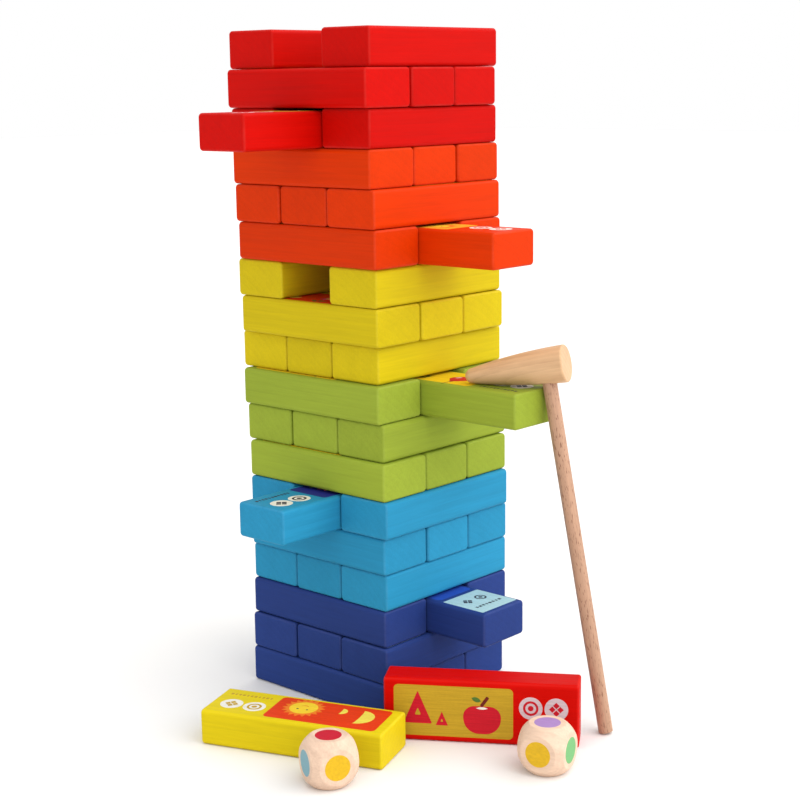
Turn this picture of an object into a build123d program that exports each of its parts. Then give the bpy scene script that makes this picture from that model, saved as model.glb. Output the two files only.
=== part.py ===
from build123d import *
import os

# Tumbling-tower game: wooden blocks stacked three to a course, with a mallet and two colour dice.
# Frame: origin at the centre of the tower's underside, +Z up, front of the tower facing -Y.
# Odd courses run along X and even courses along Y, so each course crosses the one below it.

# one block
block_length = 75.0
block_width = 25.1
block_height = 14.9
slack_height = 14.0     # the thinner blocks, which slide out of the stack easily
side_radius = 1.6       # rounding along the block
end_radius = 1.0        # rounding around its ends

# the stack
courses = 18
lane_pitch = 25.5       # block width plus its side clearance
course_pitch = 15.0     # block height plus its clearance under the next course
end_scatter = 0.25      # how unevenly the three ends of a course line up

# how far each course has been knocked off the tower's axis, in X and Y
course_nudge = {
    1: (0.0, 0.6), 2: (0.7, 0.7), 3: (0.3, 1.7),
    4: (0.3, 2.1), 5: (1.4, 1.0), 6: (2.9, -0.6),
    7: (2.1, 0.0), 8: (0.2, 1.6), 9: (-0.4, 0.3),
    10: (-3.1, 2.9), 11: (0.4, -0.1), 12: (-1.0, -0.3),
    13: (0.6, -1.4), 14: (-0.2, -1.4), 15: (-1.4, -1.2),
    16: (-1.6, -1.4), 17: (0.0, -4.0), 18: (-2.3, -0.6),
}

# middle blocks drawn part of the way out, towards +X in odd courses and -Y in even ones
drawn_out = {3: 29.7, 6: 30.2, 9: 46.6, 13: 36.4, 16: 39.6}

# courses whose middle block has been taken out of the tower
open_courses = (12, 18)

# three courses of each colour, from the floor up
colours = ("dark_blue", "light_blue", "lime", "yellow", "orange", "red")
courses_per_colour = courses // len(colours)

# the two blocks already taken out: place on the floor and turn about +Z
lying_block_place = (29.0, -74.0, 0.0)
lying_block_turn = 20.6 + 180.0
standing_block_place = (76.6, -23.7, 0.0)
standing_block_turn = 32.6

# dice: a cube trimmed by a ball, which leaves a round flat on each face
die_edge = 18.3
die_ball_radius = 0.625 * die_edge
die_flat_rim = 0.5
dice_places = {"die_left": ((60.4, -92.0), -25.0), "die_right": ((113.8, -31.7), 14.0)}

# mallet: its head's nose rests on the drawn block of course 9 and its handle stands on the floor
head_length = 41.0
head_radius = 7.3
nose_radius = 3.0
nose_slope = 11.6       # angle at which the nose runs into the head's flank
head_rim = 0.7
socket_from_nose = 33.2
socket_depth_past_axis = 2.5
handle_radius = 2.8
handle_length = 147.1
handle_rim = 0.35
glue_gap = 0.03
mallet_joint = (84.7, 5.9, 142.65)   # where the handle's axis meets the head's
head_tilt = 10.3
head_turn = 20.9
handle_roll = 2.1


def wooden_block(name, plane, height):
    """One block on the plane's face, its length along the plane's x and its printed face up."""
    along = Axis(plane.origin, plane.x_dir)
    with BuildPart() as block:
        with BuildSketch(plane):
            Rectangle(block_length, block_width)
        extrude(amount=height)
        fillet(block.edges().filter_by(along), side_radius)
        fillet(block.edges().filter_by(along, reverse=True), end_radius)
    write_part(block, name)


def write_part(piece, name):
    """Label a finished piece with its node name and write its STEP file."""
    piece.part.label = name
    export_step(piece.part, f"parts/{name}.step")


def course_block(course, lane):
    """The block in one lane of a course, where lane is -1, 0 or 1 across the course."""
    nudge_x, nudge_y = course_nudge[course]
    bottom = (course - 1) * course_pitch
    scatter = end_scatter * ((course + 2 * lane) % 3 - 1)
    is_drawn = lane == 0 and course in drawn_out
    drawn = drawn_out[course] if is_drawn else 0.0
    height = slack_height if is_drawn else block_height
    across = lane * lane_pitch
    if course % 2:
        lane_name = ("front", "middle", "back")[lane + 1]
        place = (nudge_x + scatter + drawn, nudge_y + across, bottom)
        length_axis = (1, 0, 0)
    else:
        lane_name = ("left", "middle", "right")[lane + 1]
        place = (nudge_x + across, nudge_y + scatter - drawn, bottom)
        length_axis = (0, -1, 0)
    colour = colours[(course - 1) // courses_per_colour]
    plane = Plane(origin=place, x_dir=length_axis, z_dir=(0, 0, 1))
    wooden_block(f"{colour}_block_{course:02d}_{lane_name}", plane, height)


def turned_direction(degrees):
    """The horizontal direction at an angle from +X."""
    return Vector(1, 0, 0).rotate(Axis.Z, degrees)


os.makedirs("parts", exist_ok=True)

# the tower
for course in range(1, courses + 1):
    for lane in (-1, 0, 1):
        if lane == 0 and course in open_courses:
            continue
        course_block(course, lane)

# the block lying flat on the floor, its printed face up
lying_plane = Plane(origin=lying_block_place, x_dir=turned_direction(lying_block_turn), z_dir=(0, 0, 1))
wooden_block("yellow_block_loose", lying_plane, slack_height)

# the block standing on its long edge, its printed face to the front
face_direction = turned_direction(standing_block_turn - 90.0)
standing_back = Vector(*standing_block_place) - face_direction * (slack_height / 2)
standing_plane = Plane(
    origin=standing_back + Vector(0, 0, block_width / 2),
    x_dir=turned_direction(standing_block_turn),
    z_dir=face_direction,
)
wooden_block("red_block_loose", standing_plane, slack_height)

# the dice
for die_name, (die_spot, die_turn) in dice_places.items():
    die_plane = Plane(
        origin=(die_spot[0], die_spot[1], die_edge / 2),
        x_dir=turned_direction(die_turn),
        z_dir=(0, 0, 1),
    )
    with BuildPart(die_plane) as die:
        Box(die_edge, die_edge, die_edge)
        Sphere(die_ball_radius, mode=Mode.INTERSECT)
        fillet(die.edges().filter_by(GeomType.CIRCLE), die_flat_rim)
    write_part(die, die_name)

# the mallet's own directions: along the head to its flat end, and up the handle
head_direction = (
    Vector(1, 0, 0).rotate(Axis.Y, -head_tilt).rotate(Axis.Z, head_turn)
)
handle_direction = (
    Vector(0, 0, 1).rotate(Axis.X, -handle_roll).rotate(Axis.Y, -head_tilt).rotate(Axis.Z, head_turn)
)
joint_point = Vector(*mallet_joint)

# the head, turned about its long axis: a round nose, a swelling flank and a flat striking end
nose_point = joint_point - head_direction * socket_from_nose
profile_plane = Plane(
    origin=nose_point,
    x_dir=head_direction,
    z_dir=head_direction.cross(handle_direction),
)
with BuildPart() as mallet_head:
    with BuildSketch(profile_plane):
        with BuildLine():
            nose = CenterArc((nose_radius, 0), nose_radius, 180, nose_slope - 90)
            flank = TangentArc(nose @ 1, (head_length, head_radius), tangent=nose % 1)
            Polyline(flank @ 1, (head_length, 0), (0, 0))
        make_face()
    revolve(axis=Axis(nose_point, head_direction))
    flat_end = mallet_head.faces().filter_by(GeomType.PLANE).sort_by(Axis(nose_point, head_direction))[-1]
    fillet(flat_end.edges(), head_rim)
    socket_plane = Plane(
        origin=joint_point - handle_direction * (head_radius * 2),
        x_dir=head_direction,
        z_dir=handle_direction,
    )
    with BuildSketch(socket_plane):
        Circle(handle_radius + glue_gap)
    extrude(amount=head_radius * 2 + socket_depth_past_axis, mode=Mode.SUBTRACT)
write_part(mallet_head, "mallet_head")

# the handle, a plain dowel glued into the head's blind socket
handle_top = joint_point + handle_direction * socket_depth_past_axis
handle_plane = Plane(
    origin=handle_top - handle_direction * handle_length,
    x_dir=head_direction,
    z_dir=handle_direction,
)
with BuildPart() as mallet_handle:
    with BuildSketch(handle_plane):
        Circle(handle_radius)
    extrude(amount=handle_length)
    fillet(mallet_handle.edges().filter_by(GeomType.CIRCLE), handle_rim)
write_part(mallet_handle, "mallet_handle")

foot = handle_plane.origin
print("handle foot centre", foot, "lowest point", mallet_handle.part.bounding_box().min.Z)
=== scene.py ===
"""Looks for the tumbling-tower game: stained blocks with printed faces, a turned mallet and two dice."""
import math

import bmesh
import bpy
from bpy.props import FloatProperty, FloatVectorProperty, PointerProperty
from mathutils import Euler, Matrix, Vector


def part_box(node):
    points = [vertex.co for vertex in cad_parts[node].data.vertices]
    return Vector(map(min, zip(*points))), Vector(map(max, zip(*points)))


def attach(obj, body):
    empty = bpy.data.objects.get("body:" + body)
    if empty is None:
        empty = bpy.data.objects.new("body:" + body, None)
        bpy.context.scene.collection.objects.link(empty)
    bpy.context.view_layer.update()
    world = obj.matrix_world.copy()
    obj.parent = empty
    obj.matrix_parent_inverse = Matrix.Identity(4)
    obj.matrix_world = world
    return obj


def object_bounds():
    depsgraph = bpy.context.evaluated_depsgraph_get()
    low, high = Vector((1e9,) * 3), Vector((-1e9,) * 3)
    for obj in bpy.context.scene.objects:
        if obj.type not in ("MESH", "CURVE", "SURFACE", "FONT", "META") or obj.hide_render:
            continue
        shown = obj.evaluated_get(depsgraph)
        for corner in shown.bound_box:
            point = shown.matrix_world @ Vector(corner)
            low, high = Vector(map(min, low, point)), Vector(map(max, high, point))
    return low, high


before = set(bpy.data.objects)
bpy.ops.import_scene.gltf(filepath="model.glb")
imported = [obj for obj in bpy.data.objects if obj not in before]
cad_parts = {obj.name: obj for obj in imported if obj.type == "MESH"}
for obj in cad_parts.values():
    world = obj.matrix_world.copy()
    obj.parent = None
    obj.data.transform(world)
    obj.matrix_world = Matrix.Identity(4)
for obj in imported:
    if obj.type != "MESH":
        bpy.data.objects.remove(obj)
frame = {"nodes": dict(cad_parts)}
cad_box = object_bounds()

bl_info = {
    "name": "Tumbling Tower",
    "version": (1, 0, 0),
    "blender": (4, 5, 0),
    "location": "View3D > Sidebar > Tumbling Tower",
    "description": "Finishes a stacked wooden block game: stains, face prints, mallet, dice and studio",
    "category": "Object",
}

MM = 0.001

# The pieces stay where the frame has them. These turns only lay the wood grain and the prints along them.
ALONG_X = Euler((0.0, 0.0, 0.0))
ALONG_Y = Euler((0.0, 0.0, math.radians(-90.0)))
LYING_BLOCK = Euler((0.0, 0.0, math.radians(200.6)))
STANDING_BLOCK = Euler((math.radians(90.0), 0.0, math.radians(32.6)))
DIE_TURNS = {"die_left": math.radians(-25.0), "die_right": math.radians(14.0)}
HEAD_TILT = math.radians(10.3)
HEAD_TURN = math.radians(20.9)
HANDLE_ROLL = math.radians(2.1)

# Every block has one of nine prints. A colour without a loose block carries all nine of them on its nine
# blocks; the red and yellow blocks still in the tower take turns with two prints, and each loose block has
# its own.
PICTURES = ("apple", "sun", "house", "flower", "fish", "tree", "boat", "balloon", "butterfly")
MARKS = ("triangle", "crescent", "ring", "heart", "drop", "diamond", "star", "square", "clover")
LOOSE_PICTURES = {"red": "apple", "yellow": "sun"}

# Sizes of the printed pieces and their places from the middle of a block's face, with x along the block.
LARGE_MARK = 12.6 * MM
LARGE_MARK_PLACE = (-24.2 * MM, -0.9 * MM)
SMALL_MARK = 5.4 * MM
SMALL_MARK_PLACE = (-14.9 * MM, -3.9 * MM)
PICTURE_PLACE = (0.6 * MM, -2.3 * MM)
DISC_HEIGHT = 2.8 * MM
DISC_SIGN = 6.4 * MM
SQUARE_SIGN = 5.6 * MM

# How far a block's sanded edges reach in from its sides, in millimetres
SANDED_REACH = 1.0

# Height of the raised grain on the mallet and dice, and of the brush marks in paint
FINE_RELIEF = 0.03 * MM
PAINT_RELIEF = 0.01 * MM

# How much paler the two loose blocks' stain is
LOOSE_PALER = 0.14

# The floor's side and its gap under the pieces in metres, and where the two lamps stand
FLOOR_SIZE = 12.0
FLOOR_GAP = 0.02 * MM
KEY_SIDE = Vector((0.93, -0.05, 0.36))
BACK_SIDE = Vector((0.5, 0.45, 0.85))


def linear(*channels):
    """A display colour of 0 to 255 as the linear numbers that shaders use."""
    shares = [channel / 255.0 for channel in channels]
    return tuple(s / 12.92 if s <= 0.04045 else ((s + 0.055) / 1.055) ** 2.4 for s in shares)


def colour_setting(name, description, *channels):
    """A colour that the user can change."""
    return FloatVectorProperty(
        name=name, description=description, subtype="COLOR", size=3, min=0.0, max=1.0,
        default=linear(*channels),
    )


def length_setting(name, description, millimetres):
    """A length that the user can change."""
    return FloatProperty(
        name=name, description=description, subtype="DISTANCE", unit="LENGTH", min=0.0,
        default=millimetres * MM, precision=5,
    )


class BlockSettings(bpy.types.PropertyGroup):
    """Stain colours and surface of the wooden blocks."""

    red: colour_setting("Red stain", "Top three courses", 188, 7, 1)
    orange: colour_setting("Orange stain", "Courses 13 to 15", 202, 50, 0)
    yellow: colour_setting("Yellow stain", "Courses 10 to 12", 196, 175, 19)
    lime: colour_setting("Lime stain", "Courses 7 to 9", 142, 159, 52)
    light_blue: colour_setting("Light blue stain", "Courses 4 to 6", 40, 135, 175)
    dark_blue: colour_setting("Dark blue stain", "Bottom three courses", 39, 60, 123)
    grain_contrast: FloatProperty(
        name="Grain contrast", description="How far the grain darkens and lightens the stain",
        subtype="FACTOR", min=0.0, max=1.0, default=0.10,
    )
    edge_wear: FloatProperty(
        name="Edge wear", description="How much paler the stain is where edges were sanded",
        subtype="FACTOR", min=0.0, max=1.0, default=0.03,
    )
    grain_relief: length_setting("Grain relief", "Height of the raised grain", 0.035)


class PrintSettings(bpy.types.PropertyGroup):
    """Sizes and inks of the printed faces."""

    ink_layer: length_setting("Ink layer", "Thickness of one coat of ink", 0.015)
    panel_start: length_setting("Panel start", "From the block's middle to the panel's outer end", 33.5)
    panel_end: length_setting("Panel end", "From the block's middle to the panel's inner end", 12.5)
    panel_width: length_setting("Panel width", "Width of the printed panel", 20.4)
    panel_corner: length_setting("Panel corner", "Corner radius of the printed panel", 1.8)
    disc_radius: length_setting("Disc radius", "Radius of the two label discs", 4.5)
    mustard: colour_setting("Mustard", "Panels of the red blocks", 186, 150, 38)
    amber: colour_setting("Amber", "Panels of the orange blocks", 228, 170, 46)
    vermilion: colour_setting("Vermilion", "Panels of the yellow blocks", 214, 58, 14)
    canary: colour_setting("Canary", "Panels of the lime blocks", 230, 196, 30)
    ultramarine: colour_setting("Ultramarine", "Panels of the light blue blocks", 38, 44, 128)
    royal_blue: colour_setting("Royal blue", "Panels of the dark blue blocks", 40, 78, 176)
    pale_cyan: colour_setting("Pale cyan", "Labels of the dark blue blocks", 168, 200, 206)
    crimson: colour_setting("Crimson", "Apple skin and red marks", 192, 24, 40)
    straw: colour_setting("Straw", "Marks on the yellow blocks", 224, 206, 80)
    sun_yellow: colour_setting("Sun yellow", "Sun and petals' hearts", 232, 196, 48)
    sun_orange: colour_setting("Sun orange", "Sun rays and fish", 226, 122, 34)
    leaf_green: colour_setting("Leaf green", "Leaves and trees", 78, 112, 48)
    sky_blue: colour_setting("Sky blue", "Sails, windows and wings", 70, 146, 196)
    rose: colour_setting("Rose", "Petals and balloons", 214, 96, 124)
    bark_brown: colour_setting("Bark brown", "Stems, trunks and hulls", 104, 34, 26)
    chalk_white: colour_setting("Chalk white", "Label discs and highlights", 226, 222, 212)
    rose_white: colour_setting("Rose white", "Label discs of the red blocks", 206, 184, 190)
    soot: colour_setting("Soot", "Captions and eyes", 44, 40, 56)


class MalletSettings(bpy.types.PropertyGroup):
    """Woods of the mallet."""

    head_wood: colour_setting("Head wood", "Turned head", 206, 168, 128)
    handle_wood: colour_setting("Handle wood", "Beech dowel", 184, 144, 118)
    fleck: colour_setting("Fleck", "Short dark flecks in the dowel", 112, 68, 48)


class DiceSettings(bpy.types.PropertyGroup):
    """Wood and painted spots of the dice."""

    wood: colour_setting("Dice wood", "Bare pale wood", 222, 192, 168)
    spot_radius: length_setting("Spot radius", "Radius of each painted spot", 4.9)
    spot_height: length_setting("Spot height", "Thickness of the paint", 0.03)
    red: colour_setting("Red spot", "One face of each die", 190, 24, 40)
    orange: colour_setting("Orange spot", "One face of each die", 222, 98, 20)
    yellow: colour_setting("Yellow spot", "One face of each die", 214, 170, 12)
    green: colour_setting("Green spot", "One face of each die", 104, 172, 104)
    blue: colour_setting("Blue spot", "One face of each die", 112, 160, 174)
    purple: colour_setting("Purple spot", "One face of each die", 156, 122, 180)


class StageSettings(bpy.types.PropertyGroup):
    """Camera, floor and studio light."""

    lens: FloatProperty(
        name="Lens", description="Focal length in millimetres on a 36 mm sensor", min=1.0, default=73.2,
    )
    camera_place: FloatVectorProperty(
        name="Camera place", description="Where the camera stands", subtype="TRANSLATION", unit="LENGTH",
        size=3, default=(0.45143, -0.48422, 0.25013),
    )
    camera_turn: FloatVectorProperty(
        name="Camera turn", description="Pitch from straight down, roll and heading",
        subtype="EULER", unit="ROTATION", size=3,
        default=(math.radians(78.863), math.radians(-0.757), math.radians(42.065)),
    )
    floor: colour_setting("Floor", "Pale studio floor", 234, 232, 230)
    sky_strength: FloatProperty(
        name="Sky strength", description="Even light from all round", min=0.0, default=1.0,
    )
    key_strength: FloatProperty(
        name="Key strength", description="Light from the large lamp on the right", min=0.0, default=1.0,
    )
    back_strength: FloatProperty(
        name="Back strength", description="Light from the large lamp above and behind", min=0.0, default=1.8,
    )
    lamp_width: FloatProperty(
        name="Lamp width", description="How wide each large lamp looks from the object",
        subtype="ANGLE", unit="ROTATION", min=0.0, default=math.radians(90.0),
    )


# ---------------------------------------------------------------- node work


def add_node(tree, kind, inputs=(), **settings):
    """Add a shader node, set it up and feed its inputs from sockets or plain values."""
    node = tree.nodes.new("ShaderNode" + kind)
    for name, value in settings.items():
        setattr(node, name, value)
    for name, value in dict(inputs).items():
        if isinstance(value, bpy.types.NodeSocket):
            tree.links.new(value, node.inputs[name])
        else:
            node.inputs[name].default_value = value
    return node


def calculate(tree, operation, first, second):
    """One arithmetic step on two numbers."""
    return add_node(tree, "Math", {0: first, 1: second}, operation=operation).outputs[0]


def vector_step(tree, operation, first, second):
    """One arithmetic step on two vectors."""
    return add_node(tree, "VectorMath", {0: first, 1: second}, operation=operation)


def remap(tree, value, low, high, new_low=0.0, new_high=1.0):
    """Stretch a range of a number to another range and hold it there."""
    inputs = {"Value": value, "From Min": low, "From Max": high, "To Min": new_low, "To Max": new_high}
    return add_node(tree, "MapRange", inputs).outputs["Result"]


def weigh(tree, *parts):
    """Add patterns up, each with its weight."""
    total = None
    for pattern, weight in parts:
        part = calculate(tree, "MULTIPLY", pattern, weight)
        total = part if total is None else calculate(tree, "ADD", total, part)
    return total


def blend_colours(tree, share, first, second):
    """Mix two colours by a share. The Mix node's inputs 6 and 7 and its output 2 are its colours."""
    inputs = {0: share}
    for index, colour in ((6, first), (7, second)):
        is_socket = isinstance(colour, bpy.types.NodeSocket)
        inputs[index] = colour if is_socket else (*colour, 1.0)
    return add_node(tree, "Mix", inputs, data_type="RGBA").outputs[2]


def shaded(colour, gain):
    """A colour made darker or lighter."""
    return tuple(min(1.0, channel * gain) for channel in colour)


def toward(colour, goal, share):
    """A colour part of the way to another one."""
    return tuple(a + (b - a) * share for a, b in zip(colour, goal))


def start_material(name, shine=0.15):
    """A fresh material with its shader wired to the output."""
    material = bpy.data.materials.new(name)
    material.use_nodes = True
    tree = material.node_tree
    tree.nodes.clear()
    shader = add_node(tree, "BsdfPrincipled", {"Specular IOR Level": shine})
    output = add_node(tree, "OutputMaterial")
    tree.links.new(shader.outputs["BSDF"], output.inputs["Surface"])
    return material, tree, shader


def piece_coordinates(tree, place, turn):
    """Millimetres in a piece's own frame, from its middle, with x along the grain."""
    source = add_node(tree, "TexCoord").outputs["Object"]
    inputs = {"Vector": source, "Location": place, "Rotation": turn, "Scale": (MM, MM, MM)}
    return add_node(tree, "Mapping", inputs, vector_type="TEXTURE").outputs["Vector"]


def grain_noise(tree, where, stretch, shift, detail=3.0, rough=0.55):
    """Noise drawn out along the grain. Stretch gives features a millimetre along and across."""
    along, across = stretch
    inputs = {"Vector": where, "Scale": (along, across, across), "Location": (shift, shift * 0.7, -shift)}
    placed = add_node(tree, "Mapping", inputs).outputs["Vector"]
    noise = {"Vector": placed, "Scale": 1.0, "Detail": detail, "Roughness": rough}
    return add_node(tree, "TexNoise", noise).outputs["Fac"]


def growth_rings(tree, where, shift, spacing, bend=3.0):
    """Growth rings about a pith that lies beside the piece and runs along its length."""
    pith = (shift * 3.0, 26.0 + 5.0 * math.sin(shift), 34.0 + 7.0 * math.cos(1.7 * shift))
    inputs = {"Vector": where, "Scale": (0.05, 1.0, 1.0), "Location": pith}
    placed = add_node(tree, "Mapping", inputs).outputs["Vector"]
    wave = {"Vector": placed, "Scale": 1.0 / spacing, "Distortion": bend, "Detail": 2.0, "Detail Scale": 0.35}
    rings = add_node(tree, "TexWave", wave, wave_type="RINGS", rings_direction="X", wave_profile="SAW")
    return rings.outputs["Fac"]


def surface(tree, shader, colour, roughness, height, depth):
    """Feed the shader its colour and roughness, and raise the surface by a height of 0 to 1 times depth."""
    bump = add_node(tree, "Bump", {"Height": height, "Distance": depth, "Strength": 1.0})
    tree.links.new(colour, shader.inputs["Base Color"])
    tree.links.new(roughness, shader.inputs["Roughness"])
    tree.links.new(bump.outputs["Normal"], shader.inputs["Normal"])


def give(piece, *materials):
    """Put materials in a piece's slots, first to last."""
    piece.data.materials.clear()
    for material in materials:
        piece.data.materials.append(material)


# ---------------------------------------------------------------- the blocks


def block_nodes(frame):
    """Every block's node name, bottom course first and the loose ones last."""
    names = [name for name in frame["nodes"] if "_block_" in name]
    return sorted(names, key=lambda name: (name.endswith("loose"), name.split("_block_")[1]))


def stain_of(name):
    """The colour family that a block's name starts with."""
    return name.split("_block_")[0]


def middle_of(name):
    """The middle of a node's box."""
    low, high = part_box(name)
    return (low + high) / 2


def block_turn(name):
    """How a block lies, from a block along X with its print up."""
    if name == "yellow_block_loose":
        return LYING_BLOCK
    if name == "red_block_loose":
        return STANDING_BLOCK
    course = int(name.split("_")[-2])
    return ALONG_X if course % 2 else ALONG_Y


def half_block(name):
    """Half a block's length, width and height. The two loose blocks are equally thick."""
    low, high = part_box("dark_blue_block_01_middle")
    bottom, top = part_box("yellow_block_loose" if name == "red_block_loose" else name)
    return Vector((high.x - low.x, high.y - low.y, top.z - bottom.z)) / 2


def sanded_edges(tree, where, half):
    """A mask that is 1 on a block's rounded edges and 0 on its faces."""
    inner = tuple(side / MM - SANDED_REACH for side in half)
    size = vector_step(tree, "ABSOLUTE", where, (0.0, 0.0, 0.0)).outputs["Vector"]
    past = vector_step(tree, "SUBTRACT", size, inner).outputs["Vector"]
    past = vector_step(tree, "MAXIMUM", past, (0.0, 0.0, 0.0)).outputs["Vector"]
    parts = add_node(tree, "SeparateXYZ", {0: past}).outputs
    turned = add_node(tree, "CombineXYZ", {0: parts["Y"], 1: parts["Z"], 2: parts["X"]}).outputs[0]
    product = vector_step(tree, "DOT_PRODUCT", past, turned).outputs["Value"]
    return remap(tree, product, 0.1, 0.5)


def stained_wood(name, stain, seed, settings):
    """Stained and sealed wood for one block: fibres, growth rings and sanded edges."""
    material, tree, shader = start_material(f"{name}_stain", shine=0.05)
    where = piece_coordinates(tree, middle_of(name), block_turn(name))
    shift = 7.3 * seed
    fibres = grain_noise(tree, where, (0.05, 1.25), shift, detail=4.0, rough=0.65)
    clouds = grain_noise(tree, where, (0.03, 0.16), shift + 31.0)
    rings = growth_rings(tree, where, shift, 9.0)
    figure = weigh(tree, (rings, 0.12), (clouds, 0.45), (fibres, 0.75))
    figure = remap(tree, figure, 0.38, 0.92)
    tint = 1.0 + 0.05 * math.sin(2.4 * seed) + (LOOSE_PALER if name.endswith("loose") else 0.0)
    contrast = settings.grain_contrast
    dark = shaded(stain, tint * (1.0 - contrast))
    light = shaded(stain, tint * (1.0 + contrast))
    colour = blend_colours(tree, figure, dark, light)
    worn = sanded_edges(tree, where, half_block(name))
    patchy = remap(tree, clouds, 0.3, 0.6, 0.4, 1.0)
    worn = calculate(tree, "MULTIPLY", calculate(tree, "MULTIPLY", worn, patchy), settings.edge_wear)
    pale = toward(stain, (1.0, 0.9, 0.75), 0.5)
    colour = blend_colours(tree, worn, colour, pale)
    roughness = remap(tree, fibres, 0.25, 0.75, 0.42, 0.6)
    surface(tree, shader, colour, roughness, figure, settings.grain_relief)
    return material


class TOWER_OT_stain_blocks(bpy.types.Operator):
    """Stain every block of the tower and the two loose ones"""

    bl_idname = "tower.stain_blocks"
    bl_label = "Stain Blocks"

    def execute(self, context):
        settings = context.scene.tower_blocks
        for seed, name in enumerate(block_nodes(frame)):
            family = stain_of(name)
            stain = tuple(getattr(settings, family))
            give(frame["nodes"][name], stained_wood(name, stain, seed, settings))
        return {"FINISHED"}


# ---------------------------------------------------------------- flat shapes for the prints


def drop_selection():
    """Leave object mode's selection empty."""
    if bpy.context.object and bpy.context.object.mode != "OBJECT":
        bpy.ops.object.mode_set(mode="OBJECT")
    bpy.ops.object.select_all(action="DESELECT")


def disc(radius, x=0.0, y=0.0, sides=28):
    """A flat disc, or a regular shape of a few sides with one corner up."""
    drop_selection()
    bpy.ops.mesh.primitive_circle_add(
        vertices=sides, radius=radius, fill_type="NGON", location=(x, y, 0.0)
    )
    bpy.ops.object.transform_apply(location=True, rotation=False, scale=False)
    return bpy.context.object


def slab(length, width, x=0.0, y=0.0, corner=0.0):
    """A flat rectangle with rounded corners."""
    drop_selection()
    bpy.ops.mesh.primitive_plane_add(size=1.0, location=(x, y, 0.0))
    shape = bpy.context.object
    shape.scale = (length, width, 1.0)
    bpy.ops.object.transform_apply(location=True, rotation=False, scale=True)
    if corner:
        soften(shape, corner)
    return shape


def choose(shape, picked):
    """Go to edit mode with only the picked points selected."""
    bpy.context.view_layer.objects.active = shape
    bpy.ops.object.mode_set(mode="EDIT")
    bpy.ops.mesh.select_mode(type="VERT")
    bpy.ops.mesh.select_all(action="DESELECT")
    points = bmesh.from_edit_mesh(shape.data)
    for point in points.verts:
        point.select_set(bool(picked(point)))
    points.select_flush_mode()
    bmesh.update_edit_mesh(shape.data)


def soften(shape, radius, steps=4):
    """Round every corner of a flat shape."""
    choose(shape, lambda point: True)
    bpy.ops.mesh.bevel(offset=radius, segments=steps, affect="VERTICES", offset_type="OFFSET")
    bpy.ops.object.mode_set(mode="OBJECT")
    return shape


def stretch(shape, factors, centre=(0.0, 0.0), picked=lambda point: True):
    """Scale the picked points of a flat shape about a centre."""
    choose(shape, picked)
    bpy.ops.transform.resize(value=(*factors, 1.0), center_override=(*centre, 0.0))
    bpy.ops.object.mode_set(mode="OBJECT")
    return shape


def pull(shape, move, picked=lambda point: True):
    """Move the picked points of a flat shape."""
    choose(shape, picked)
    bpy.ops.transform.translate(value=(*move, 0.0))
    bpy.ops.object.mode_set(mode="OBJECT")
    return shape


def swing(shape, degrees, centre=(0.0, 0.0)):
    """Turn a flat shape about a centre, anticlockwise."""
    shape.data.transform(
        Matrix.Translation((*centre, 0.0))
        @ Matrix.Rotation(math.radians(degrees), 4, "Z")
        @ Matrix.Translation((-centre[0], -centre[1], 0.0))
    )
    return shape


def open_middle(shape, border):
    """Cut the middle out of a flat shape, leaving a border."""
    choose(shape, lambda point: True)
    bpy.ops.mesh.select_mode(type="FACE")
    bpy.ops.mesh.select_all(action="SELECT")
    bpy.ops.mesh.inset(thickness=border, depth=0.0)
    bpy.ops.mesh.delete(type="FACE")
    bpy.ops.object.mode_set(mode="OBJECT")
    return shape


def spiked(outer, inner, spikes, x=0.0, y=0.0):
    """A star of so many spikes."""
    shape = disc(outer, sides=2 * spikes)
    stretch(shape, (inner / outer,) * 2, picked=lambda point: point.index % 2)
    return pull(shape, (x, y))


def crescent(radius, hollow=0.45):
    """A moon that opens to the right."""
    shape = disc(radius, sides=28)
    return stretch(shape, (-hollow, 1.0), picked=lambda point: point.co.x > 1e-6)


# ---------------------------------------------------------------- marks, one for each print


def triangle_mark(size):
    """A tall triangle with a triangular window."""
    shape = open_middle(disc(size * 0.62, sides=3), size * 0.24)
    return soften(stretch(shape, (0.82, 1.12)), size * 0.05)


def crescent_mark(size):
    """A waxing moon."""
    return pull(crescent(size * 0.5, 0.1), (size * 0.12, 0.0))


def ring_mark(size):
    """A plain ring."""
    return open_middle(disc(size * 0.48), size * 0.24)


def heart_mark(size):
    """A heart."""
    shape = disc(size * 0.48, sides=24)
    pull(shape, (0.0, -size * 0.22), picked=lambda point: abs(point.co.x) < 1e-6 and point.co.y > 0)
    pull(shape, (0.0, -size * 0.06), picked=lambda point: point.co.y < -size * 0.3)
    return stretch(shape, (0.72, 1.0), picked=lambda point: point.co.y < -size * 0.2)


def drop_mark(size):
    """A water drop."""
    shape = disc(size * 0.38, sides=24)
    stretch(shape, (0.8, 1.0), picked=lambda point: point.co.y > size * 0.2)
    return pull(shape, (0.0, size * 0.24), picked=lambda point: point.co.y > size * 0.36)


def diamond_mark(size):
    """A diamond with a small window."""
    shape = open_middle(stretch(disc(size * 0.52, sides=4), (0.8, 1.0)), size * 0.18)
    return soften(shape, size * 0.04)


def star_mark(size):
    """A five-pointed star."""
    return spiked(size * 0.52, size * 0.25, 5)


def square_mark(size):
    """A square with a square window."""
    return soften(open_middle(slab(size * 0.84, size * 0.84), size * 0.22), size * 0.05)


def clover_mark(size):
    """A four-leaved clover."""
    return soften(spiked(size * 0.52, size * 0.2, 4), size * 0.1, 3)


MARK_MAKERS = {
    "triangle": triangle_mark, "crescent": crescent_mark, "ring": ring_mark, "heart": heart_mark,
    "drop": drop_mark, "diamond": diamond_mark, "star": star_mark, "square": square_mark,
    "clover": clover_mark,
}


# ---------------------------------------------------------------- pictures, each in its own inks


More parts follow.
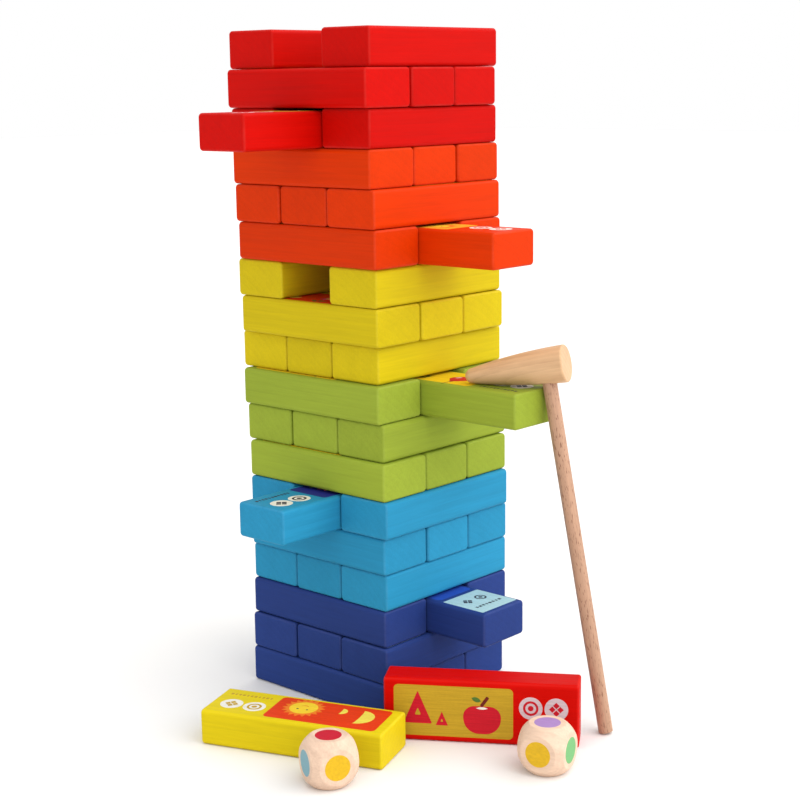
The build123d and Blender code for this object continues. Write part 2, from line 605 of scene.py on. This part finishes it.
def leaf(length, width, x, y, degrees):
    """A pointed leaf."""
    shape = disc(length / 2, sides=16)
    stretch(shape, (0.8, width / length), picked=lambda point: abs(point.co.x) < length * 0.49)
    swing(shape, degrees)
    return pull(shape, (x, y))


def bar(length, width, x, y, degrees=0.0):
    """A short rounded bar."""
    return swing(slab(length, width, x, y, width * 0.3), degrees, (x, y))


def apple_picture():
    """An apple with a stem, a leaf and a highlight."""
    skin = slab(15.8 * MM, 11.2 * MM, 0.0, -0.6 * MM)
    soften(stretch(skin, (0.82, 1.0), picked=lambda point: point.co.y < 0), 5.2 * MM, 12)
    return [
        (1, "crimson", skin),
        (2, "chalk_white", leaf(4.6 * MM, 1.0 * MM, 0.0, 4.2 * MM, 0.0)),
        (3, "bark_brown", bar(4.6 * MM, 1.3 * MM, 1.0 * MM, 6.9 * MM, 55.0)),
        (2, "leaf_green", leaf(4.0 * MM, 1.9 * MM, -2.2 * MM, 7.6 * MM, -20.0)),
    ]


def sun_picture():
    """A sun with a plain smiling face."""
    smile = stretch(swing(crescent(1.5 * MM, 0.7), 90.0), (1.0, 0.8))
    return [
        (1, "sun_orange", spiked(8.6 * MM, 6.6 * MM, 18)),
        (2, "sun_yellow", disc(5.6 * MM, sides=36)),
        (3, "soot", disc(0.45 * MM, -2.0 * MM, 1.4 * MM, 12)),
        (3, "soot", disc(0.45 * MM, 2.0 * MM, 1.4 * MM, 12)),
        (3, "vermilion", pull(smile, (0.0, -1.2 * MM))),
    ]


def house_picture():
    """A house with a roof, a door and a window."""
    roof = stretch(disc(6.4 * MM, sides=3), (1.25, 0.62))
    return [
        (1, "sun_orange", slab(10.6 * MM, 7.0 * MM, 0.0, -2.4 * MM, 0.4 * MM)),
        (2, "crimson", pull(soften(roof, 0.4 * MM), (0.0, 3.0 * MM))),
        (2, "bark_brown", slab(2.6 * MM, 4.4 * MM, -2.2 * MM, -3.7 * MM, 0.3 * MM)),
        (2, "sky_blue", slab(2.8 * MM, 2.6 * MM, 2.4 * MM, -2.4 * MM, 0.3 * MM)),
        (1, "bark_brown", slab(1.4 * MM, 3.4 * MM, 3.4 * MM, 4.4 * MM, 0.2 * MM)),
    ]


def flower_picture():
    """A flower on a stalk with two leaves."""
    petals = soften(spiked(5.0 * MM, 2.4 * MM, 6), 1.1 * MM)
    return [
        (1, "leaf_green", bar(7.0 * MM, 0.9 * MM, 0.0, -3.8 * MM, 90.0)),
        (1, "leaf_green", leaf(4.4 * MM, 1.9 * MM, 2.3 * MM, -4.2 * MM, 30.0)),
        (1, "leaf_green", leaf(4.4 * MM, 1.9 * MM, -2.3 * MM, -4.2 * MM, 150.0)),
        (2, "rose", pull(petals, (0.0, 2.4 * MM))),
        (3, "sun_yellow", disc(1.7 * MM, 0.0, 2.4 * MM, 20)),
    ]


def fish_picture():
    """A fish with fins and an eye."""
    body = stretch(disc(5.4 * MM, sides=32), (1.15, 0.66))
    tail = swing(stretch(disc(3.2 * MM, sides=3), (1.1, 1.1)), 90.0)
    return [
        (1, "crimson", pull(soften(tail, 0.4 * MM), (6.3 * MM, 0.0))),
        (2, "sun_orange", body),
        (1, "crimson", leaf(4.8 * MM, 2.6 * MM, 0.3 * MM, 3.4 * MM, 12.0)),
        (3, "chalk_white", disc(1.1 * MM, -3.5 * MM, 0.8 * MM, 16)),
        (3, "crimson", leaf(2.8 * MM, 1.4 * MM, 1.0 * MM, -0.4 * MM, -15.0)),
    ]


def tree_picture():
    """A fir tree of three tiers."""
    tiers = []
    for step, width in enumerate((5.6, 4.6, 3.4)):
        tier = stretch(disc(width * MM, sides=3), (1.0, 0.8))
        tiers.append((1 + step, "leaf_green", pull(soften(tier, 0.4 * MM), (0.0, (2.9 * step - 2.0) * MM))))
    return [(1, "bark_brown", slab(1.8 * MM, 4.0 * MM, 0.0, -5.4 * MM, 0.3 * MM)), *tiers]


def boat_picture():
    """A boat with two sails."""
    hull = slab(12.0 * MM, 3.4 * MM, 0.0, -4.2 * MM)
    stretch(hull, (0.7, 1.0), picked=lambda point: point.co.y < -5.0 * MM)
    jib = pull(stretch(disc(3.4 * MM, sides=3), (0.9, 1.2)), (-3.0 * MM, 0.4 * MM))
    main = pull(stretch(disc(4.0 * MM, sides=3), (0.9, 1.35)), (2.4 * MM, 1.4 * MM))
    return [
        (1, "crimson", soften(hull, 0.5 * MM)),
        (1, "bark_brown", bar(11.0 * MM, 0.8 * MM, -0.3 * MM, 1.8 * MM, 90.0)),
        (2, "chalk_white", soften(jib, 0.3 * MM)),
        (2, "sky_blue", soften(main, 0.3 * MM)),
    ]


def balloon_picture():
    """A balloon on a string."""
    envelope = stretch(disc(4.8 * MM, sides=32), (0.95, 1.0))
    stretch(envelope, (0.75, 1.15), picked=lambda point: point.co.y < -2.6 * MM)
    return [
        (1, "soot", bar(8.0 * MM, 0.5 * MM, 0.2 * MM, -5.2 * MM, 84.0)),
        (2, "crimson", pull(envelope, (0.0, 2.2 * MM))),
        (2, "crimson", pull(disc(1.3 * MM, sides=3), (0.0, -3.4 * MM))),
        (3, "chalk_white", leaf(3.2 * MM, 1.1 * MM, -2.2 * MM, 3.8 * MM, 60.0)),
    ]


def butterfly_picture():
    """A butterfly with four wings."""
    wings = []
    for side in (-1, 1):
        upper = stretch(disc(3.6 * MM, sides=24), (1.1, 0.85))
        lower = stretch(disc(2.5 * MM, sides=24), (1.1, 0.9))
        wings.append((1, "sky_blue", pull(swing(upper, side * 35.0), (side * 3.5 * MM, 2.1 * MM))))
        wings.append((1, "rose", pull(swing(lower, side * -30.0), (side * 2.7 * MM, -2.9 * MM))))
        wings.append((2, "sun_yellow", disc(1.2 * MM, side * 3.8 * MM, 2.3 * MM, 16)))
        wings.append((2, "soot", bar(3.0 * MM, 0.4 * MM, side * 1.0 * MM, 5.6 * MM, 90.0 - side * 25.0)))
    return [*wings, (3, "bark_brown", leaf(9.6 * MM, 1.5 * MM, 0.0, 0.0, 90.0))]


PICTURE_MAKERS = {
    "apple": apple_picture, "sun": sun_picture, "house": house_picture, "flower": flower_picture,
    "fish": fish_picture, "tree": tree_picture, "boat": boat_picture, "balloon": balloon_picture,
    "butterfly": butterfly_picture,
}


# ---------------------------------------------------------------- labels and whole prints


def target_sign(x, y, size):
    """A ring about a dot."""
    border = open_middle(disc(size * 0.46, sides=24), size * 0.14)
    return [pull(border, (x, y)), disc(size * 0.17, x, y, 16)]


def tiles_sign(x, y, size):
    """Four small tiles set on their corners."""
    step = size * 0.24
    return [
        disc(size * 0.2, x + across * step, y + up * step, 4)
        for across, up in ((0, 1), (1, 0), (0, -1), (-1, 0))
    ]


def caption(start, end, y, count, size):
    """A row of small bars of uneven length, in place of a line of words."""
    marks = []
    pitch = (end - start) / count
    for step in range(count):
        length = pitch * (0.45 + 0.25 * ((step * 5) % 3) / 2)
        marks.append(slab(length, size, start + (step + 0.5) * pitch, y))
    return marks


def disc_label(settings):
    """Two discs with a sign each, over a caption."""
    shapes = []
    for x, sign in ((19.2 * MM, target_sign), (28.9 * MM, tiles_sign)):
        shapes.append((0, "disc", disc(settings.disc_radius, x, DISC_HEIGHT, 36)))
        shapes += [(1, "sign", shape) for shape in sign(x, DISC_HEIGHT, DISC_SIGN)]
    bars = caption(15.5 * MM, 34.0 * MM, -6.6 * MM, 11, 1.6 * MM)
    return shapes + [(0, "sign", shape) for shape in bars]


def square_label():
    """A squared label at the block's end, with its signs and caption read across the block."""
    shapes = [(0, "disc", slab(20.6 * MM, 21.6 * MM, 25.0 * MM, 0.0, 0.5 * MM))]
    for y, sign in ((-4.0 * MM, tiles_sign), (4.0 * MM, target_sign)):
        shapes += [(1, "sign", shape) for shape in sign(22.0 * MM, y, SQUARE_SIGN)]
    for shape in caption(-8.0 * MM, 8.0 * MM, -29.4 * MM, 8, 1.4 * MM):
        shapes.append((1, "sign", swing(shape, 90.0)))
    return shapes


def face_up(shape):
    """Turn every face of a flat shape to the top."""
    for face in shape.data.polygons:
        if face.normal.z < 0:
            face.flip()


def grain_map(shape):
    """Lay a map on a flat print so that its inks follow the block's grain."""
    layer = shape.data.uv_layers.get("grain") or shape.data.uv_layers.new(name="grain")
    for loop in shape.data.loops:
        place = shape.data.vertices[loop.vertex_index].co
        layer.data[loop.index].uv = (place.x / MM, place.y / MM)


def master_print(number, squared, settings):
    """One whole print, flat at the origin. Empty materials with the inks' names stand in its slots."""
    layer = settings.ink_layer
    length = settings.panel_start + settings.panel_end
    middle = (settings.panel_end - settings.panel_start) / 2
    shapes = [(0, "panel", slab(length, settings.panel_width, middle, 0.0, settings.panel_corner))]
    mark = MARK_MAKERS[MARKS[number]]
    shapes.append((1, "mark", pull(mark(LARGE_MARK), LARGE_MARK_PLACE)))
    shapes.append((1, "mark", pull(mark(SMALL_MARK), SMALL_MARK_PLACE)))
    for level, ink, shape in PICTURE_MAKERS[PICTURES[number]]():
        shapes.append((level, ink, pull(shape, PICTURE_PLACE)))
    shapes += square_label() if squared else disc_label(settings)
    for level, ink, shape in shapes:
        shape.data.transform(Matrix.Translation((0.0, 0.0, layer * (level + 1))))
        shape.data.materials.append(bpy.data.materials.get(ink) or bpy.data.materials.new(ink))
    drop_selection()
    for _, _, shape in shapes:
        shape.select_set(True)
    whole = shapes[0][2]
    bpy.context.view_layer.objects.active = whole
    bpy.ops.object.join()
    face_up(whole)
    grain_map(whole)
    coat = whole.modifiers.new("coat", "SOLIDIFY")
    coat.thickness = layer * 1.1
    coat.offset = -1.0
    bpy.ops.object.modifier_apply(modifier=coat.name)
    return whole


def printed_face(name):
    """The frame of a block's printed face: its middle, with x along the block and z out of the face."""
    turn = block_turn(name).to_matrix().to_4x4()
    rise = Matrix.Translation((0.0, 0.0, half_block(name).z))
    return Matrix.Translation(middle_of(name)) @ turn @ rise


def ink_material(name, colour):
    """Screen ink with the wood's grain showing through it."""
    material, tree, shader = start_material(f"ink_{name}", shine=0.1)
    shader.inputs["Roughness"].default_value = 0.55
    where = add_node(tree, "UVMap", uv_map="grain").outputs["UV"]
    patterns = []
    for scale, detail in (((0.06, 1.7, 1.0), 3.0), ((0.9, 1.6, 1.0), 4.0)):
        placed = add_node(tree, "Mapping", {"Vector": where, "Scale": scale}).outputs["Vector"]
        noise = {"Vector": placed, "Scale": 1.0, "Detail": detail}
        patterns.append(add_node(tree, "TexNoise", noise).outputs["Fac"])
    lines, specks = patterns
    figure = remap(tree, weigh(tree, (lines, 0.75), (specks, 0.25)), 0.34, 0.66)
    shade = blend_colours(tree, figure, shaded(colour, 0.84), shaded(colour, 1.08))
    tree.links.new(shade, shader.inputs["Base Color"])
    return material


FAMILY_INKS = {
    "red": {"panel": "mustard", "mark": "crimson", "disc": "rose_white", "sign": "crimson"},
    "orange": {"panel": "amber", "mark": "vermilion", "disc": "chalk_white", "sign": "vermilion"},
    "yellow": {"panel": "vermilion", "mark": "straw", "disc": "chalk_white", "sign": "mustard"},
    "lime": {"panel": "canary", "mark": "leaf_green", "disc": "chalk_white", "sign": "soot"},
    "light_blue": {"panel": "ultramarine", "mark": "chalk_white", "disc": "chalk_white", "sign": "soot"},
    "dark_blue": {"panel": "royal_blue", "mark": "pale_cyan", "disc": "pale_cyan", "sign": "soot"},
}


def print_number(name, place_in_family):
    """Which of the nine prints a block has. No other block of its colour has a loose block's print."""
    loose_picture = LOOSE_PICTURES.get(stain_of(name))
    if name.endswith("loose"):
        return PICTURES.index(loose_picture)
    numbers = [number for number, picture in enumerate(PICTURES) if picture != loose_picture]
    return numbers[(place_in_family * 4 + 2) % len(numbers)]


class TOWER_OT_print_blocks(bpy.types.Operator):
    """Print a panel, a picture, marks and a label on every block"""

    bl_idname = "tower.print_blocks"
    bl_label = "Print Blocks"

    def execute(self, context):
        settings = context.scene.tower_prints
        inks = {}
        masters = {}
        placed = {}
        for name in block_nodes(frame):
            family = stain_of(name)
            place_in_family = placed.get(family, 0)
            placed[family] = place_in_family + 1
            number = print_number(name, place_in_family)
            squared = family == "dark_blue"
            if (number, squared) not in masters:
                masters[number, squared] = master_print(number, squared, settings)
            mesh = masters[number, squared].data.copy()
            mesh.transform(printed_face(name))
            piece = bpy.data.objects.new(f"{name}_print", mesh)
            context.scene.collection.objects.link(piece)
            for index, marker in enumerate(list(mesh.materials)):
                ink = FAMILY_INKS[family].get(marker.name, marker.name)
                if ink not in inks:
                    inks[ink] = ink_material(ink, tuple(getattr(settings, ink)))
                mesh.materials[index] = inks[ink]
            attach(piece, "tower_base" if "_01_" in name else name)
        for master in masters.values():
            bpy.data.objects.remove(master)
        return {"FINISHED"}


# ---------------------------------------------------------------- mallet


def head_frame():
    """The head's own frame: x from its nose to its flat end."""
    return Matrix.Rotation(HEAD_TURN, 3, "Z") @ Matrix.Rotation(-HEAD_TILT, 3, "Y")


def handle_frame():
    """The handle's own frame: x up the handle."""
    upright = Matrix.Rotation(math.radians(-90.0), 3, "Y")
    return head_frame() @ Matrix.Rotation(-HANDLE_ROLL, 3, "X") @ upright


def head_material(settings):
    """Turned pale wood with soft bands along the head and rings on its flat end."""
    wood = tuple(settings.head_wood)
    material, tree, shader = start_material("turned_head_wood", shine=0.25)
    where = piece_coordinates(tree, middle_of("mallet_head"), head_frame().to_euler())
    bands = grain_noise(tree, where, (0.03, 0.3), 4.0, detail=2.0)
    fibres = grain_noise(tree, where, (0.07, 1.6), 11.0, detail=4.0, rough=0.65)
    rings = growth_rings(tree, where, 2.0, 7.0, 2.0)
    figure = remap(tree, weigh(tree, (bands, 0.6), (fibres, 0.45), (rings, 0.2)), 0.38, 0.9)
    dark = toward(shaded(wood, 0.82), (0.62, 0.26, 0.1), 0.12)
    colour = blend_colours(tree, figure, dark, shaded(wood, 1.12))
    roughness = remap(tree, fibres, 0.3, 0.7, 0.36, 0.52)
    surface(tree, shader, colour, roughness, figure, FINE_RELIEF)
    return material


def handle_material(settings):
    """Beech dowel with short dark flecks along the grain."""
    wood = tuple(settings.handle_wood)
    material, tree, shader = start_material("handle_beech", shine=0.25)
    where = piece_coordinates(tree, middle_of("mallet_handle"), handle_frame().to_euler())
    flecks = grain_noise(tree, where, (0.42, 2.6), 3.0, detail=1.0)
    flecks = remap(tree, flecks, 0.6, 0.68)
    fibres = grain_noise(tree, where, (0.05, 1.5), 9.0, detail=4.0, rough=0.65)
    bands = grain_noise(tree, where, (0.012, 0.35), 17.0)
    figure = remap(tree, weigh(tree, (bands, 0.5), (fibres, 0.5)), 0.36, 0.64)
    colour = blend_colours(tree, figure, shaded(wood, 0.84), shaded(wood, 1.1))
    fleck_share = calculate(tree, "MULTIPLY", flecks, 0.75)
    colour = blend_colours(tree, fleck_share, colour, tuple(settings.fleck))
    roughness = remap(tree, fibres, 0.3, 0.7, 0.4, 0.56)
    height = calculate(tree, "SUBTRACT", figure, flecks)
    surface(tree, shader, colour, roughness, height, FINE_RELIEF)
    return material


class TOWER_OT_finish_mallet(bpy.types.Operator):
    """Give the mallet's head and handle their woods"""

    bl_idname = "tower.finish_mallet"
    bl_label = "Finish Mallet"

    def execute(self, context):
        settings = context.scene.tower_mallet
        give(frame["nodes"]["mallet_head"], head_material(settings))
        give(frame["nodes"]["mallet_handle"], handle_material(settings))
        return {"FINISHED"}


# ---------------------------------------------------------------- dice


def dice_material(name, settings, seed):
    """Bare pale wood, sanded smooth."""
    wood = tuple(settings.wood)
    material, tree, shader = start_material(f"{name}_wood", shine=0.2)
    where = piece_coordinates(tree, middle_of(name), Euler((0.0, 0.0, DIE_TURNS[name])))
    bands = grain_noise(tree, where, (0.06, 0.35), 5.0 + seed, detail=2.0)
    fibres = grain_noise(tree, where, (0.1, 1.6), 13.0 + seed, detail=4.0, rough=0.65)
    figure = remap(tree, weigh(tree, (bands, 0.55), (fibres, 0.45)), 0.36, 0.64)
    dark = toward(shaded(wood, 0.86), (0.7, 0.34, 0.2), 0.1)
    colour = blend_colours(tree, figure, dark, shaded(wood, 1.08))
    roughness = remap(tree, fibres, 0.3, 0.7, 0.42, 0.58)
    surface(tree, shader, colour, roughness, figure, FINE_RELIEF)
    return material


def paint_material(name, colour):
    """Brushed matt paint."""
    material, tree, shader = start_material(f"spot_{name}", shine=0.3)
    where = piece_coordinates(tree, (0.0, 0.0, 0.0), (0.0, 0.0, 0.0))
    streaks = grain_noise(tree, where, (0.5, 1.1), 3.0, detail=4.0)
    figure = remap(tree, streaks, 0.32, 0.68)
    shade = blend_colours(tree, figure, shaded(colour, 0.9), shaded(colour, 1.06))
    roughness = remap(tree, streaks, 0.3, 0.7, 0.38, 0.52)
    surface(tree, shader, shade, roughness, figure, PAINT_RELIEF)
    return material


# Colours on each die's faces: +X, -X, +Y, -Y, +Z and -Z in the die's own frame.
DIE_FACES = {
    "die_left": ("yellow", "green", "purple", "blue", "red", "orange"),
    "die_right": ("green", "red", "blue", "yellow", "purple", "orange"),
}
FACE_TURNS = (
    Matrix.Rotation(math.radians(90.0), 4, "Y"),
    Matrix.Rotation(math.radians(-90.0), 4, "Y"),
    Matrix.Rotation(math.radians(-90.0), 4, "X"),
    Matrix.Rotation(math.radians(90.0), 4, "X"),
    Matrix.Identity(4),
    Matrix.Rotation(math.radians(180.0), 4, "X"),
)


def spot_master(settings):
    """One painted spot, lying at the origin with a softly rounded rim."""
    spot = disc(settings.spot_radius, sides=48)
    choose(spot, lambda point: True)
    bpy.ops.mesh.inset(thickness=0.12 * MM, depth=settings.spot_height)
    bpy.ops.object.mode_set(mode="OBJECT")
    return spot


class TOWER_OT_finish_dice(bpy.types.Operator):
    """Finish the dice's wood and paint a coloured spot on every face"""

    bl_idname = "tower.finish_dice"
    bl_label = "Finish Dice"

    def execute(self, context):
        settings = context.scene.tower_dice
        paints = {}
        for colour in DIE_FACES["die_left"]:
            paints[colour] = paint_material(colour, tuple(getattr(settings, colour)))
        master = spot_master(settings)
        for seed, (name, colours) in enumerate(DIE_FACES.items()):
            low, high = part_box(name)
            half_edge = (high.z - low.z) / 2
            own = Matrix.Translation(middle_of(name)) @ Matrix.Rotation(DIE_TURNS[name], 4, "Z")
            # a tenth of the paint sinks in, so its rim closes on the wood
            seat = Matrix.Translation((0.0, 0.0, half_edge - settings.spot_height * 0.1))
            copies = []
            for turn, colour in zip(FACE_TURNS, colours):
                mesh = master.data.copy()
                mesh.transform(own @ turn @ seat)
                mesh.materials.append(paints[colour])
                copy = bpy.data.objects.new(f"{name}_spots", mesh)
                context.scene.collection.objects.link(copy)
                copies.append(copy)
            drop_selection()
            for copy in copies:
                copy.select_set(True)
            context.view_layer.objects.active = copies[0]
            bpy.ops.object.join()
            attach(copies[0], name)
            give(frame["nodes"][name], dice_material(name, settings, 40.0 * seed))
        bpy.data.objects.remove(master)
        return {"FINISHED"}


# ---------------------------------------------------------------- stage


def broad_lamp(name, source, width, strength):
    """A far, broad lamp that shines from one side and lights the whole floor evenly."""
    light = bpy.data.lights.new(name, "SUN")
    light.angle = width
    light.energy = strength
    lamp = bpy.data.objects.new(name, light)
    lamp.location = source
    lamp.rotation_euler = source.to_track_quat("Z", "Y").to_euler()
    bpy.context.scene.collection.objects.link(lamp)


class TOWER_OT_set_stage(bpy.types.Operator):
    """Set the camera, the pale floor and the studio light"""

    bl_idname = "tower.set_stage"
    bl_label = "Set Stage"

    def execute(self, context):
        settings = context.scene.tower_stage
        scene = context.scene
        camera_data = bpy.data.cameras.new("camera")
        camera_data.lens = settings.lens
        camera_data.sensor_width = 36.0
        camera_data.clip_start = 0.01
        camera = bpy.data.objects.new("camera", camera_data)
        scene.collection.objects.link(camera)
        pitch, roll, heading = settings.camera_turn
        camera.matrix_world = (
            Matrix.Translation(settings.camera_place)
            @ Matrix.Rotation(heading, 4, "Z")
            @ Matrix.Rotation(pitch, 4, "X")
            @ Matrix.Rotation(roll, 4, "Z")
        )
        scene.camera = camera

        drop_selection()
        bpy.ops.mesh.primitive_plane_add(size=FLOOR_SIZE, location=(0.0, 0.0, cad_box[0].z - FLOOR_GAP))
        floor = context.object
        floor.name = "floor"
        material, _, shader = start_material("floor_paper", shine=0.1)
        shader.inputs["Base Color"].default_value = (*settings.floor, 1.0)
        shader.inputs["Roughness"].default_value = 0.8
        give(floor, material)

        world = bpy.data.worlds.new("studio")
        world.use_nodes = True
        background = world.node_tree.nodes["Background"]
        background.inputs["Color"].default_value = (1.0, 1.0, 1.0, 1.0)
        background.inputs["Strength"].default_value = settings.sky_strength
        scene.world = world

        broad_lamp("key", KEY_SIDE, settings.lamp_width, settings.key_strength)
        broad_lamp("back", BACK_SIDE, settings.lamp_width, settings.back_strength)
        scene.view_settings.view_transform = "Standard"
        scene.view_settings.look = "None"
        return {"FINISHED"}


# ---------------------------------------------------------------- panel and start


class TOWER_PT_panel(bpy.types.Panel):
    """Steps that finish the tower, in order"""

    bl_idname = "TOWER_PT_panel"
    bl_label = "Tumbling Tower"
    bl_space_type = "VIEW_3D"
    bl_region_type = "UI"
    bl_category = "Tumbling Tower"

    def draw(self, context):
        for step in STEPS:
            self.layout.operator(step.bl_idname)


SETTINGS = {
    "tower_blocks": BlockSettings,
    "tower_prints": PrintSettings,
    "tower_mallet": MalletSettings,
    "tower_dice": DiceSettings,
    "tower_stage": StageSettings,
}
STEPS = (
    TOWER_OT_set_stage,
    TOWER_OT_stain_blocks,
    TOWER_OT_print_blocks,
    TOWER_OT_finish_mallet,
    TOWER_OT_finish_dice,
)
CLASSES = (*SETTINGS.values(), *STEPS, TOWER_PT_panel)


def register():
    """Make the settings, the steps and the panel known to Blender."""
    for item in CLASSES:
        bpy.utils.register_class(item)
    for name, group in SETTINGS.items():
        setattr(bpy.types.Scene, name, PointerProperty(type=group))


def unregister():
    """Take the settings, the steps and the panel out again."""
    for name in SETTINGS:
        delattr(bpy.types.Scene, name)
    for item in reversed(CLASSES):
        bpy.utils.unregister_class(item)


def main():
    """Build everything."""
    register()
    bpy.ops.tower.set_stage()
    bpy.ops.tower.stain_blocks()
    bpy.ops.tower.print_blocks()
    bpy.ops.tower.finish_mallet()
    bpy.ops.tower.finish_dice()
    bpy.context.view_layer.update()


if __name__ == "__main__":
    main()
